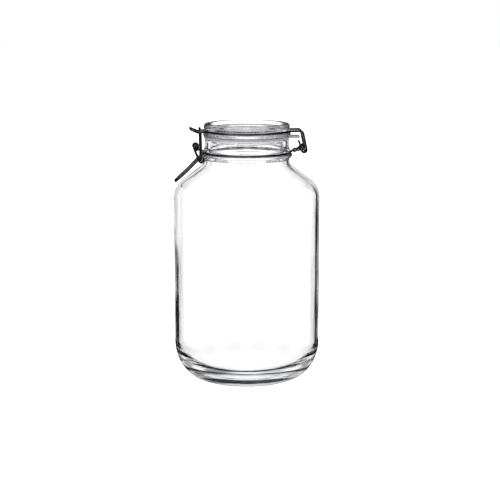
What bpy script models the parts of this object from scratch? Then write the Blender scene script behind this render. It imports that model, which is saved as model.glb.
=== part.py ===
# Clip-top glass jar: a blown jar, a pressed lid with a rubber seal, and a wire latch and hinge.
# The origin is the middle of the base, +Z is up, the latch is at -X and the hinge at +X.

import math

import bmesh
import bpy
from mathutils import Matrix, Vector

MM = 0.001

# Overall sizes of the jar
BODY_RADIUS = 80 * MM
BODY_WALL = 4.2 * MM
GLASS_HEIGHT = 266.6 * MM
MOUTH_RADIUS = 40.5 * MM
MOUTH_WALL = 5.8 * MM
HEEL_HEIGHT = 42 * MM
SHOULDER_ROUND = 22 * MM
SHOULDER_SLOPE = math.radians(37.5)
NECK_FILLET = 8 * MM
NECK_STEP = 0.1 * MM

# Base: a ring to stand on, a shallow dome inside it and a thick floor
BASE_RING_RADIUS = 46 * MM
BASE_RING_FLAT = 3 * MM
PUSH_UP_DEPTH = 2.5 * MM
FLOOR_THICKNESS = 12.5 * MM
FLOOR_OVERHANG = 4 * MM
INNER_HEEL_RISE = 2 * MM

# Wire and the clearance that touching pieces keep
WIRE_RADIUS = 1.15 * MM
CLEARANCE = 0.3 * MM

# Finish of the mouth: the lip, the collar over the wire groove and the bead below it
LIP_ROUND = 1.3 * MM
COLLAR_OVERHANG = 1.3 * MM
COLLAR_HEIGHT = 1.5 * MM
COLLAR_FLARE = 2.2 * MM
NECK_WIRE_DROP = 15.2 * MM
BEAD_OVERHANG = 3.4 * MM
BEAD_ROUND = 0.8 * MM
BEAD_EDGE = 1.3 * MM
BEAD_UNDERCUT = 3.6 * MM
BEAD_FOOT = 0.3 * MM
NECK_STRAIGHT = 1.2 * MM

# Lid
LID_HEIGHT = 13.2 * MM
LID_OVERHANG = 1.5 * MM
LID_RIM_INSET = 0.85 * MM
LID_RIM_ROUND = 2.6 * MM
LID_RIM_WIDTH = 7.5 * MM
LID_RIM_INNER_ROUND = 1.6 * MM
LID_RECESS_DEPTH = 5.2 * MM
LID_RECESS_FILLET = 2.2 * MM
LID_DISC_THICKNESS = 4 * MM
LID_FLANGE_HEIGHT = 3.6 * MM
LID_FLANGE_ROUND = 1 * MM
LID_GROOVE_DEPTH = 1.5 * MM
LID_LIP_PLAY = 0.9 * MM
LID_LIP_THICKNESS = 3.6 * MM
LID_LIP_DEPTH = 3.8 * MM
LID_LIP_SPLAY = 5 * MM
LID_LIP_ROUND = 1 * MM

# Seal ring
SEAL_THICKNESS = 2.6 * MM
SEAL_OVERHANG = 1.1 * MM
SEAL_EDGE_ROUND = 0.8 * MM
TAB_REACH = 10.4 * MM
TAB_WIDTH = 16 * MM
TAB_CORNER = 4 * MM
TAB_ROOT = 2 * MM

# Nose of the lid wire, that the bail's crossbar lies on
NOSE_HALF_WIDTH = 11 * MM
NOSE_LENGTH = 10.7 * MM
NOSE_DIP_SET_OUT = 2.1 * MM
NOSE_SAG = 1.25 * MM
NOSE_LIFT = 3.8 * MM
NOSE_CORNER = 5 * MM
NOSE_BEND = 6 * MM
RING_CORNER = 3 * MM

# Latch: the fulcrum, the bail's pivot and the crossbar, seen from the side. The play over the
# nose lets the rigid bail pass dead centre, where the real wire stretches.
PIVOT_STAND_OFF = 0.5 * MM
PIVOT_DROP = 7.5 * MM
FULCRUM_OFFSET = 5.5 * MM
FULCRUM_RISE = 6.1 * MM
CROSSBAR_LEAN = 0.9 * MM
CROSSBAR_PLAY = 1.7 * MM
BAIL_SIDE_GAP = 2.9 * MM
BAIL_CORNER = 4 * MM
PIN_BEND = 1.9 * MM
PIN_OVERHANG = 0.3 * MM
EYE_GAP = 0.45 * MM
EAR_GAP = 0.6 * MM
EYE_SWEEP = math.radians(318)

# Handle, from the neck down the slope of the shoulder and clear of the glass
HANDLE_BEND_ALONG = 15.2 * MM
HANDLE_BEND_CLEAR = 6 * MM
HANDLE_TIP_ALONG = 32.8 * MM
HANDLE_TIP_CLEAR = 4.6 * MM
HANDLE_BEND = 9 * MM
HANDLE_TAPER = 1.5 * MM
HANDLE_TIP_ROUND = 7 * MM

# Hinge: the two neck wires twist together, then splay into the pins that the lid wire hooks round
HINGE_REACH = 14.1 * MM
HINGE_RISE = 3.2 * MM
HINGE_LEG_HALF_WIDTH = 13 * MM
HINGE_LEG_LEAN = -1.45 * MM
HINGE_LEG_RISE = 0.2 * MM
HINGE_LEG_BEND = 3.2 * MM
HOOK_CLEARANCE = 0.45 * MM
HOOK_SWEEP = math.radians(235)
TWIST_SET_BACK = 2.75 * MM
TWIST_STOP = 2.9 * MM
TWIST_START_RISE = 1.4 * MM
TWIST_GAP = 0.6 * MM
TWIST_EASE_SHARE = 0.25
RING_END_BEND = 2.8 * MM
STEM_BEND = 1.4 * MM
HINGE_PIN_OVERHANG = 4.2 * MM
HINGE_PIN_BEND = 1.9 * MM
HINGE_END_LEAN = 3.2 * MM
HINGE_END_HEIGHT = 7.4 * MM

# Counts and angles of the facets
TURN_STEPS = 56
ARC_STEP = math.radians(18)
TIGHT_STEP = math.radians(30)
RING_STEP = math.radians(9)
EYE_STEP = math.radians(24)
TWIST_STEPS = 18
DOME_STEPS = 4
WIRE_SIDES_SETTING = 2
WELD = 0.01 * MM
SHORTEST_STEP = 0.23 * MM

# Radii and heights of the mouth that follow from the sizes above
WIRE_DIAMETER = 2 * WIRE_RADIUS
LIP_RADIUS = MOUTH_RADIUS + MOUTH_WALL
GROOVE_FLOOR = LIP_RADIUS - CLEARANCE
NECK_RING_RADIUS = GROOVE_FLOOR + CLEARANCE + WIRE_RADIUS
NECK_WIRE_HEIGHT = GLASS_HEIGHT - NECK_WIRE_DROP
NECK_WIRE_TOP = NECK_WIRE_HEIGHT + WIRE_RADIUS + CLEARANCE
NECK_WIRE_BOTTOM = NECK_WIRE_HEIGHT - WIRE_RADIUS - CLEARANCE
BEAD_RADIUS = LIP_RADIUS + BEAD_OVERHANG
BEAD_LOW = NECK_WIRE_BOTTOM - BEAD_ROUND - BEAD_EDGE
BEAD_BOTTOM = BEAD_LOW - BEAD_UNDERCUT
NECK_RADIUS = LIP_RADIUS + NECK_STEP

# Cone of the shoulder, from the top of its slope to the round above the body
SLOPE_SIDE_SHARE = 1 - math.sin(SHOULDER_SLOPE)
CONE_HIGH_R = NECK_RADIUS + NECK_FILLET * SLOPE_SIDE_SHARE
CONE_HIGH_Z = BEAD_BOTTOM - NECK_STRAIGHT - NECK_FILLET * math.cos(SHOULDER_SLOPE)
CONE_LOW_R = BODY_RADIUS - SHOULDER_ROUND * SLOPE_SIDE_SHARE
CONE_LOW_Z = CONE_HIGH_Z - (CONE_LOW_R - CONE_HIGH_R) * math.tan(SHOULDER_SLOPE)
SHOULDER_START = CONE_LOW_Z - SHOULDER_ROUND * math.cos(SHOULDER_SLOPE)

# Lid and seal
LID_SEAT = GLASS_HEIGHT + CLEARANCE + SEAL_THICKNESS + CLEARANCE
LID_TOP = LID_SEAT + LID_HEIGHT
LID_FLANGE_RADIUS = LIP_RADIUS + LID_OVERHANG
LID_RIM_RADIUS = LID_FLANGE_RADIUS - LID_RIM_INSET
LID_GROOVE_RADIUS = LID_RIM_RADIUS - LID_GROOVE_DEPTH
LID_RING_RADIUS = LID_GROOVE_RADIUS + CLEARANCE + WIRE_RADIUS
LID_FLANGE_TOP = LID_SEAT + LID_FLANGE_HEIGHT
LID_WIRE_HEIGHT = LID_FLANGE_TOP + CLEARANCE + WIRE_RADIUS
LID_LIP_RADIUS = MOUTH_RADIUS - LID_LIP_PLAY
SEAL_RADIUS = LIP_RADIUS + SEAL_OVERHANG

# Places of the latch
PIVOT_X = -(BEAD_RADIUS + PIVOT_STAND_OFF)
PIVOT_Z = NECK_WIRE_HEIGHT - PIVOT_DROP
FULCRUM_X = PIVOT_X - FULCRUM_OFFSET
FULCRUM_Z = NECK_WIRE_HEIGHT + FULCRUM_RISE
NOSE_DIP = LID_WIRE_HEIGHT - NOSE_SAG
CROSSBAR_X = PIVOT_X - CROSSBAR_LEAN
CROSSBAR_Z = NOSE_DIP + WIRE_DIAMETER + CROSSBAR_PLAY
NOSE_DIP_X = CROSSBAR_X - NOSE_DIP_SET_OUT
NOSE_TIP_X = CROSSBAR_X - NOSE_LENGTH
BAIL_HALF_WIDTH = NOSE_HALF_WIDTH + WIRE_DIAMETER + BAIL_SIDE_GAP
EYE_RADIUS = WIRE_DIAMETER + CLEARANCE
EYE_PITCH = WIRE_DIAMETER + EYE_GAP
EYE_OUTER_Y = BAIL_HALF_WIDTH - WIRE_DIAMETER - EYE_GAP
EYE_INNER_Y = EYE_OUTER_Y - EYE_PITCH
EAR_HALF_WIDTH = EYE_INNER_Y - WIRE_DIAMETER - EAR_GAP
HANDLE_TIP_HALF_WIDTH = EYE_INNER_Y - HANDLE_TAPER

# Places of the hinge
HINGE_X = NECK_RING_RADIUS + HINGE_REACH
HINGE_Z = NECK_WIRE_HEIGHT + HINGE_RISE
HINGE_LEG_TOP_X = HINGE_X + HINGE_LEG_LEAN
HINGE_PIN_HALF_LENGTH = HINGE_LEG_HALF_WIDTH + HINGE_PIN_OVERHANG
HOOK_RADIUS = WIRE_DIAMETER + HOOK_CLEARANCE
TWIST_RADIUS = WIRE_RADIUS + TWIST_GAP / 2
TWIST_START_X = NECK_RING_RADIUS + TWIST_SET_BACK
TWIST_END_X = HINGE_X - TWIST_STOP


def clear_scene():
    for item in list(bpy.data.objects):
        bpy.data.objects.remove(item, do_unlink=True)


def new_collection(name):
    collection = bpy.data.collections.new(name)
    bpy.context.scene.collection.children.link(collection)
    return collection


def new_material(name, colour, roughness, metallic):
    material = bpy.data.materials.new(name)
    material.use_nodes = True
    shader = material.node_tree.nodes["Principled BSDF"]
    shader.inputs["Base Color"].default_value = (*colour, 1.0)
    shader.inputs["Roughness"].default_value = roughness
    shader.inputs["Metallic"].default_value = metallic
    return material


def arc(centre_r, centre_z, radius_r, radius_z, start, end, steps):
    """Points of an elliptic arc in a turned profile, from one angle to another, in degrees."""
    points = []
    for i in range(steps + 1):
        angle = math.radians(start + (end - start) * i / steps)
        points.append((centre_r + radius_r * math.cos(angle), centre_z + radius_z * math.sin(angle)))
    return points


def shoulder(body_radius, neck_radius, round_radius, fillet_radius, steps):
    """The neck fillet, the cone and the round of the shoulder, from the neck down to the body."""
    slope = math.degrees(SHOULDER_SLOPE)
    cone_low_r = body_radius - round_radius * SLOPE_SIDE_SHARE
    cone_low_z = SHOULDER_START + round_radius * math.cos(SHOULDER_SLOPE)
    cone_high_r = neck_radius + fillet_radius * SLOPE_SIDE_SHARE
    cone_high_z = cone_low_z + (cone_low_r - cone_high_r) * math.tan(SHOULDER_SLOPE)
    fillet_z = cone_high_z + fillet_radius * math.cos(SHOULDER_SLOPE)
    fillet = arc(neck_radius + fillet_radius, fillet_z, fillet_radius, fillet_radius,
                 180, 270 - slope, steps)
    rounding = arc(body_radius - round_radius, SHOULDER_START, round_radius, round_radius,
                   90 - slope, 0, steps + 1)
    return fillet + rounding


def turned(name, profile, closed, material, collection):
    """A solid of revolution about Z from a profile of (radius, height) points."""
    mesh = bpy.data.meshes.new(name)
    edges = [(i, i + 1) for i in range(len(profile) - 1)]
    if closed:
        edges.append((len(profile) - 1, 0))
    mesh.from_pydata([(r, 0, z) for r, z in profile], edges, [])
    mesh.materials.append(material)
    item = bpy.data.objects.new(name, mesh)
    collection.objects.link(item)
    screw = item.modifiers.new("turn", "SCREW")
    screw.axis = "Z"
    screw.steps = TURN_STEPS
    screw.render_steps = TURN_STEPS
    screw.use_merge_vertices = True
    screw.merge_threshold = WELD
    screw.use_smooth_shade = True
    return item


def rounded_path(corners, bends, step):
    """A wire's centre line through its corners, each turned with its own bend radius."""
    points = [Vector(corners[0])]
    for i in range(1, len(corners) - 1):
        corner = Vector(corners[i])
        back = (Vector(corners[i - 1]) - corner).normalized()
        ahead = (Vector(corners[i + 1]) - corner).normalized()
        half_angle = back.angle(ahead) / 2
        turn = math.pi - 2 * half_angle
        if bends[i - 1] == 0 or turn < WELD:
            points.append(corner)
            continue
        middle = (back + ahead).normalized()
        centre = corner + middle * (bends[i - 1] / math.sin(half_angle))
        first = corner + back * (bends[i - 1] / math.tan(half_angle)) - centre
        axis = back.cross(ahead).normalized()
        count = max(2, math.ceil(turn / step))
        for k in range(count + 1):
            swing = Matrix.Rotation(-turn * k / count, 3, axis)
            points.append(centre + swing @ first)
    points.append(Vector(corners[-1]))
    return points


def mirrored(points):
    """The same points on the other side of the plane of symmetry, in the opposite order."""
    return [Vector((p.x, -p.y, p.z)) for p in reversed(points)]


def eye(centre_x, centre_z, start, sweep, start_y, end_y):
    """Turns of wire about an axis along Y, clockwise as the camera in front sees them."""
    count = math.ceil(abs(sweep) / EYE_STEP)
    points = []
    for i in range(count + 1):
        angle = start - sweep * i / count
        y = start_y + (end_y - start_y) * i / count
        points.append(Vector((centre_x + EYE_RADIUS * math.cos(angle), y,
                              centre_z + EYE_RADIUS * math.sin(angle))))
    return points


def without_repeats(points):
    kept = [points[0]]
    for point in points[1:]:
        if (point - kept[-1]).length > SHORTEST_STEP:
            kept.append(point)
    return kept


def wire(name, points, material, collection):
    """A round wire along a centre line, as one closed tube."""
    curve = bpy.data.curves.new(name, "CURVE")
    curve.dimensions = "3D"
    curve.bevel_depth = WIRE_RADIUS
    curve.bevel_resolution = WIRE_SIDES_SETTING
    curve.use_fill_caps = True
    curve.materials.append(material)
    spline = curve.splines.new("POLY")
    kept = without_repeats(points)
    spline.points.add(len(kept) - 1)
    for slot, point in zip(spline.points, kept):
        slot.co = (*point, 1)
    spline.use_smooth = True
    item = bpy.data.objects.new(name, curve)
    collection.objects.link(item)
    return item


def place_origin(item, place):
    """Moves a wire's origin to its joint axis and leaves its shape where it is."""
    item.data.transform(Matrix.Translation(-Vector(place)))
    item.location = place


def hang_on_axis(name, place, items, collection):
    """An empty on a joint's axis that carries the pieces that turn about it."""
    axis = bpy.data.objects.new(name, None)
    axis.location = place
    collection.objects.link(axis)
    for item in items:
        item.parent = axis
        item.matrix_parent_inverse = Matrix.Translation(-Vector(place))


def jar_profile():
    """From the middle of the floor up the inside, over the lip and down the outside."""
    inner_radius = BODY_RADIUS - BODY_WALL
    floor = PUSH_UP_DEPTH + FLOOR_THICKNESS
    floor_radius = BASE_RING_RADIUS + FLOOR_OVERHANG
    heel_top = HEEL_HEIGHT + INNER_HEEL_RISE
    inside = [(0, floor)]
    inside += arc(floor_radius, heel_top, inner_radius - floor_radius, heel_top - floor, -90, 0, 6)
    inside += reversed(shoulder(inner_radius, MOUTH_RADIUS, SHOULDER_ROUND - BODY_WALL,
                                NECK_FILLET + BODY_WALL, 3))
    lip = arc(MOUTH_RADIUS + LIP_ROUND, GLASS_HEIGHT - LIP_ROUND, LIP_ROUND, LIP_ROUND, 180, 90, 2)
    lip += arc(LIP_RADIUS - LIP_ROUND, GLASS_HEIGHT - LIP_ROUND, LIP_ROUND, LIP_ROUND, 90, 0, 2)
    collar_radius = LIP_RADIUS + COLLAR_OVERHANG
    collar_top = NECK_WIRE_TOP + COLLAR_HEIGHT
    finish = [(LIP_RADIUS, collar_top + COLLAR_FLARE), (collar_radius, collar_top)]
    finish += [(collar_radius, NECK_WIRE_TOP), (GROOVE_FLOOR, NECK_WIRE_TOP)]
    finish += [(GROOVE_FLOOR, NECK_WIRE_BOTTOM)]
    finish += arc(BEAD_RADIUS - BEAD_ROUND, NECK_WIRE_BOTTOM - BEAD_ROUND, BEAD_ROUND, BEAD_ROUND,
                  90, 0, 2)
    finish += [(BEAD_RADIUS, BEAD_LOW), (NECK_RADIUS + BEAD_FOOT, BEAD_BOTTOM)]
    outside = shoulder(BODY_RADIUS, NECK_RADIUS, SHOULDER_ROUND, NECK_FILLET, 3)
    outside += arc(BASE_RING_RADIUS, HEEL_HEIGHT, BODY_RADIUS - BASE_RING_RADIUS, HEEL_HEIGHT,
                   0, -90, 8)
    ring_inner = BASE_RING_RADIUS - BASE_RING_FLAT
    under = []
    for i in range(DOME_STEPS + 1):
        share = i / DOME_STEPS
        under.append((ring_inner * (1 - share), PUSH_UP_DEPTH * math.sin(math.pi / 2 * share)))
    return inside + lip + finish + outside + under


def lid_profile():
    """From the middle of the recessed disc over the rim, down the side and in under the lip."""
    disc_top = LID_TOP - LID_RECESS_DEPTH
    disc_bottom = disc_top - LID_DISC_THICKNESS
    rim_inner = LID_RIM_RADIUS - LID_RIM_WIDTH
    top = [(0, disc_top)]
    top += arc(rim_inner - LID_RECESS_FILLET, disc_top + LID_RECESS_FILLET, LID_RECESS_FILLET,
               LID_RECESS_FILLET, -90, 0, 3)
    top += arc(rim_inner + LID_RIM_INNER_ROUND, LID_TOP - LID_RIM_INNER_ROUND, LID_RIM_INNER_ROUND,
               LID_RIM_INNER_ROUND, 180, 90, 2)
    top += arc(LID_RIM_RADIUS - LID_RIM_ROUND, LID_TOP - LID_RIM_ROUND, LID_RIM_ROUND,
               LID_RIM_ROUND, 90, 0, 3)
    groove_top = LID_WIRE_HEIGHT + WIRE_RADIUS + CLEARANCE
    side = [(LID_RIM_RADIUS, groove_top), (LID_GROOVE_RADIUS, groove_top)]
    side += [(LID_GROOVE_RADIUS, LID_FLANGE_TOP)]
    side += arc(LID_FLANGE_RADIUS - LID_FLANGE_ROUND, LID_FLANGE_TOP - LID_FLANGE_ROUND,
                LID_FLANGE_ROUND, LID_FLANGE_ROUND, 90, 0, 2)
    side += [(LID_FLANGE_RADIUS, LID_SEAT)]
    lip_bottom = LID_SEAT - SEAL_THICKNESS - LID_LIP_DEPTH
    under = [(LID_LIP_RADIUS, LID_SEAT)]
    under += arc(LID_LIP_RADIUS - LID_LIP_ROUND, lip_bottom + LID_LIP_ROUND, LID_LIP_ROUND,
                 LID_LIP_ROUND, 0, -90, 2)
    lip_inner = LID_LIP_RADIUS - LID_LIP_THICKNESS
    lip_root = lip_inner - LID_LIP_SPLAY
    under += [(lip_inner, lip_bottom), (lip_root, disc_bottom - LID_LIP_ROUND)]
    under += [(lip_root - LID_LIP_ROUND, disc_bottom), (0, disc_bottom)]
    return top + side + under


def seal_profile():
    """A flat ring with rounded edges, closed on itself, down its outer side first."""
    low = GLASS_HEIGHT + CLEARANCE
    high = low + SEAL_THICKNESS
    inner = LID_LIP_RADIUS + CLEARANCE
    edge = SEAL_EDGE_ROUND
    points = arc(SEAL_RADIUS - edge, high - edge, edge, edge, 90, 0, 1)
    points += arc(SEAL_RADIUS - edge, low + edge, edge, edge, 0, -90, 1)
    points += arc(inner + edge, low + edge, edge, edge, -90, -180, 1)
    points += arc(inner + edge, high - edge, edge, edge, 180, 90, 1)
    return points


def pull_tab(collection):
    """The rubber tab behind the ring, rounded at its free corners, as a body to be joined."""
    start = SEAL_RADIUS - TAB_ROOT
    length = TAB_REACH + TAB_ROOT
    low = GLASS_HEIGHT + CLEARANCE
    shape = bmesh.new()
    bmesh.ops.create_cube(shape, size=1)
    bmesh.ops.scale(shape, vec=(length, TAB_WIDTH, SEAL_THICKNESS), verts=shape.verts)
    bmesh.ops.translate(shape, vec=(start + length / 2, 0, low + SEAL_THICKNESS / 2),
                        verts=shape.verts)
    outer = [e for e in shape.edges
             if min(v.co.x for v in e.verts) > start + length / 2
             and abs(e.verts[0].co.y - e.verts[1].co.y) < WELD]
    bmesh.ops.bevel(shape, geom=outer, offset=TAB_CORNER, segments=4, profile=0.5,
                    affect="EDGES", clamp_overlap=True)
    mesh = bpy.data.meshes.new("tab_shape")
    shape.to_mesh(mesh)
    shape.free()
    item = bpy.data.objects.new("tab_shape", mesh)
    item.hide_render = True
    item.display_type = "WIRE"
    collection.objects.link(item)
    return item


def ring_half(radius, height, front_y, rear_y):
    """The near half of a wire ring, from its front end round the near side to its rear end."""
    start = math.pi + math.asin(front_y / radius)
    end = 2 * math.pi - math.asin(rear_y / radius)
    count = math.ceil((end - start) / RING_STEP)
    points = []
    for i in range(count + 1):
        angle = start + (end - start) * i / count
        points.append(Vector((radius * math.cos(angle), radius * math.sin(angle), height)))
    return points


def tangent_corner(radius, end_y, line_y):
    """Where the ring's tangent at one end meets the line that the wire turns into."""
    end_x = math.sqrt(radius ** 2 - end_y ** 2)
    return end_x + (end_y - line_y) * end_y / end_x


def lid_wire_points():
    """Nose, near half of the ring, rear leg and hook, then the same on the far side."""
    root_y = NOSE_HALF_WIDTH + RING_CORNER
    rear_y = HINGE_LEG_HALF_WIDTH + RING_CORNER
    ring = ring_half(LID_RING_RADIUS, LID_WIRE_HEIGHT, root_y, rear_y)
    nose_root_x = -tangent_corner(LID_RING_RADIUS, root_y, NOSE_HALF_WIDTH)
    front = rounded_path(
        [(NOSE_TIP_X, 0, NOSE_DIP + NOSE_LIFT),
         (NOSE_TIP_X, -NOSE_HALF_WIDTH, NOSE_DIP + NOSE_LIFT),
         (NOSE_DIP_X, -NOSE_HALF_WIDTH, NOSE_DIP),
         (nose_root_x, -NOSE_HALF_WIDTH, LID_WIRE_HEIGHT),
         ring[0]],
        [NOSE_CORNER, NOSE_BEND, RING_CORNER], ARC_STEP)
    leg_y = -HINGE_LEG_HALF_WIDTH
    top_z = LID_WIRE_HEIGHT + HINGE_LEG_RISE
    hinge = Vector((HINGE_X, leg_y, HINGE_Z))
    top = Vector((HINGE_LEG_TOP_X, leg_y, top_z))
    span = top - hinge
    bearing = math.atan2(span.z, span.x)
    hook_start = bearing - math.acos(HOOK_RADIUS / span.length)
    count = math.ceil(HOOK_SWEEP / EYE_STEP)
    hook = []
    for i in range(count + 1):
        angle = hook_start - HOOK_SWEEP * i / count
        hook.append(hinge + HOOK_RADIUS * Vector((math.cos(angle), 0, math.sin(angle))))
    leg_root_x = tangent_corner(LID_RING_RADIUS, rear_y, HINGE_LEG_HALF_WIDTH)
    rear = rounded_path([ring[-1], (leg_root_x, leg_y, LID_WIRE_HEIGHT), top, hook[0]],
                        [RING_CORNER, HINGE_LEG_BEND], ARC_STEP)
    near = front + ring[1:-1] + rear + hook[1:]
    return mirrored(near)[:-1] + near


def neck_wire_points(side):
    """Fulcrum pin, ear, half of the neck ring, twist and hinge pin of one neck wire."""
    pin_end = EYE_OUTER_Y + WIRE_RADIUS
    root_y = EAR_HALF_WIDTH + RING_END_BEND
    rear_y = TWIST_RADIUS + RING_END_BEND
    ring = ring_half(NECK_RING_RADIUS, NECK_WIRE_HEIGHT, root_y, rear_y)
    ear_root_x = -tangent_corner(NECK_RING_RADIUS, root_y, EAR_HALF_WIDTH)
    front = rounded_path(
        [(FULCRUM_X, -pin_end, FULCRUM_Z),
         (FULCRUM_X, -EAR_HALF_WIDTH, FULCRUM_Z),
         (ear_root_x, -EAR_HALF_WIDTH, NECK_WIRE_HEIGHT),
         ring[0]],
        [PIN_BEND, PIN_BEND], TIGHT_STEP)
    stem_root_x = tangent_corner(NECK_RING_RADIUS, rear_y, TWIST_RADIUS)
    stem_z = NECK_WIRE_HEIGHT + TWIST_START_RISE
    rear = rounded_path(
        [ring[-1],
         (stem_root_x, -TWIST_RADIUS, NECK_WIRE_HEIGHT),
         (TWIST_START_X, -TWIST_RADIUS, stem_z)],
        [STEM_BEND], TIGHT_STEP)
    near = [Vector((p.x, -side * p.y, p.z)) for p in front + ring[1:-1] + rear]
    axis_start = Vector((TWIST_START_X, 0, stem_z))
    axis_end = Vector((TWIST_END_X, 0, HINGE_Z))
    rise = (axis_end - axis_start).normalized()
    upward = Vector((-rise.z, 0, rise.x))
    twist = []
    for i in range(1, TWIST_STEPS + 1):
        share = i / TWIST_STEPS
        full_turn = 2 * math.pi
        angle = full_turn * share - TWIST_EASE_SHARE * math.sin(full_turn * share)
        offset = Vector((0, side * math.cos(angle), 0)) - side * math.sin(angle) * upward
        twist.append(axis_start.lerp(axis_end, share) + TWIST_RADIUS * offset)
    pin = rounded_path(
        [twist[-1],
         (HINGE_X, side * TWIST_RADIUS, HINGE_Z),
         (HINGE_X, side * HINGE_PIN_HALF_LENGTH, HINGE_Z),
         (HINGE_X - HINGE_END_LEAN, side * HINGE_PIN_HALF_LENGTH, HINGE_Z + HINGE_END_HEIGHT)],
        [HINGE_PIN_BEND, HINGE_PIN_BEND], TIGHT_STEP)
    return near + twist[:-1] + pin


def bail_points():
    """Near pin, near leg and half of the crossbar, then the same on the far side."""
    pin_end = EYE_INNER_Y - WIRE_RADIUS - PIN_OVERHANG
    near = rounded_path(
        [(PIVOT_X, -pin_end, PIVOT_Z),
         (PIVOT_X, -BAIL_HALF_WIDTH, PIVOT_Z),
         (CROSSBAR_X, -BAIL_HALF_WIDTH, CROSSBAR_Z),
         (CROSSBAR_X, 0, CROSSBAR_Z)],
        [PIN_BEND, BAIL_CORNER], ARC_STEP)
    return near + mirrored(near)[1:]


def over_shoulder(along, clear):
    """A place on the latch side, from the top of the shoulder's cone down its slope."""
    slope_cos = math.cos(SHOULDER_SLOPE)
    slope_sin = math.sin(SHOULDER_SLOPE)
    r = CONE_HIGH_R + along * slope_cos + clear * slope_sin
    z = CONE_HIGH_Z - along * slope_sin + clear * slope_cos
    return Vector((-r, 0, z))


def lever_points():
    """Half of the handle, the bail's eye, the link and the fulcrum's eye, on both sides."""
    fulcrum = Vector((FULCRUM_X, 0, FULCRUM_Z))
    pivot = Vector((PIVOT_X, 0, PIVOT_Z))
    bend = over_shoulder(HANDLE_BEND_ALONG, HANDLE_BEND_CLEAR)
    tip = over_shoulder(HANDLE_TIP_ALONG, HANDLE_TIP_CLEAR)
    link = fulcrum - pivot
    left_side = math.atan2(link.z, link.x) + math.pi / 2
    reach = bend - pivot
    handle_side = math.atan2(reach.z, reach.x) - math.acos(EYE_RADIUS / reach.length)
    pivot_sweep = (handle_side - left_side) % (2 * math.pi)
    touch = pivot + EYE_RADIUS * Vector((math.cos(handle_side), 0, math.sin(handle_side)))
    handle = rounded_path(
        [tip,
         (tip.x, -HANDLE_TIP_HALF_WIDTH, tip.z),
         (bend.x, -EYE_INNER_Y, bend.z),
         (touch.x, -EYE_INNER_Y, touch.z)],
        [HANDLE_TIP_ROUND, HANDLE_BEND], ARC_STEP)
    pivot_eye = eye(PIVOT_X, PIVOT_Z, handle_side, pivot_sweep, -EYE_INNER_Y, -EYE_OUTER_Y)
    fulcrum_eye = eye(FULCRUM_X, FULCRUM_Z, left_side, EYE_SWEEP, -EYE_OUTER_Y, -EYE_INNER_Y)
    near = handle + pivot_eye[1:] + fulcrum_eye
    return mirrored(near)[:-1] + near


def least_gap(points):
    """The least clear space between a wire and the turns of itself that lie further along."""
    stretch = 3 * WIRE_DIAMETER
    lengths = [0]
    for first, second in zip(points, points[1:]):
        lengths.append(lengths[-1] + (second - first).length)
    least = stretch
    for i, first in enumerate(points):
        for k in range(i + 1, len(points)):
            if lengths[k] - lengths[i] > stretch:
                least = min(least, (points[k] - first).length - WIRE_DIAMETER)
    return least


def build():
    clear_scene()
    parts = new_collection("clip_top_jar")
    cutters = new_collection("cutters")
    clear_glass = new_material("clear_glass", (0.86, 0.90, 0.90), 0.05, 0.0)
    lid_glass = new_material("lid_glass", (0.80, 0.85, 0.86), 0.06, 0.0)
    rubber = new_material("pale_rubber", (0.78, 0.78, 0.76), 0.6, 0.0)
    steel = new_material("bright_steel", (0.62, 0.62, 0.64), 0.25, 1.0)

    turned("jar_body", jar_profile(), False, clear_glass, parts)
    wire("neck_wire_right", neck_wire_points(-1), steel, parts)
    wire("neck_wire_left", neck_wire_points(1), steel, parts)

    lid = turned("lid_glass", lid_profile(), False, lid_glass, parts)
    seal = turned("seal_ring", seal_profile(), True, rubber, parts)
    join = seal.modifiers.new("tab", "BOOLEAN")
    join.operation = "UNION"
    join.solver = "EXACT"
    join.object = pull_tab(cutters)
    lid_wire = wire("lid_wire", lid_wire_points(), steel, parts)
    hang_on_axis("lid_hinge_axis", (HINGE_X, 0, HINGE_Z), [lid, seal, lid_wire], parts)

    lever_line = lever_points()
    place_origin(wire("latch_lever", lever_line, steel, parts), (FULCRUM_X, 0, FULCRUM_Z))
    place_origin(wire("latch_bail", bail_points(), steel, parts), (PIVOT_X, 0, PIVOT_Z))

    gap = least_gap(without_repeats(lever_line))
    print("least gap of the lever's wire to itself: %.2f mm" % (gap / MM))


build()
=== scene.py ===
import math

import bpy
from mathutils import Matrix, Vector


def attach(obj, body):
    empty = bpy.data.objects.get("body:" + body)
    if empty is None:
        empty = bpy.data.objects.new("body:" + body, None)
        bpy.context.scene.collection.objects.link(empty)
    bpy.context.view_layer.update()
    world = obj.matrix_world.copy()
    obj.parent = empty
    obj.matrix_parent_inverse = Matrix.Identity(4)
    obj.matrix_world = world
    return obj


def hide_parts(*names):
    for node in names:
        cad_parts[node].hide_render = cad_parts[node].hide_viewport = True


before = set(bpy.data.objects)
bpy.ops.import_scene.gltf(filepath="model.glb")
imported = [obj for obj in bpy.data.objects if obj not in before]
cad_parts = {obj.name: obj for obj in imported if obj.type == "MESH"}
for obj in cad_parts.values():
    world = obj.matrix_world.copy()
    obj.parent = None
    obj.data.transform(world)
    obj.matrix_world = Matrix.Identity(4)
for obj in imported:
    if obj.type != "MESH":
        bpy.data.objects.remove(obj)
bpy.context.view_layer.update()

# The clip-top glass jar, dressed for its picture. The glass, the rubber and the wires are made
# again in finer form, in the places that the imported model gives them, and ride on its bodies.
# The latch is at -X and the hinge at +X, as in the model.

MM = 0.001

DEGREE = math.radians(1)

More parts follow.
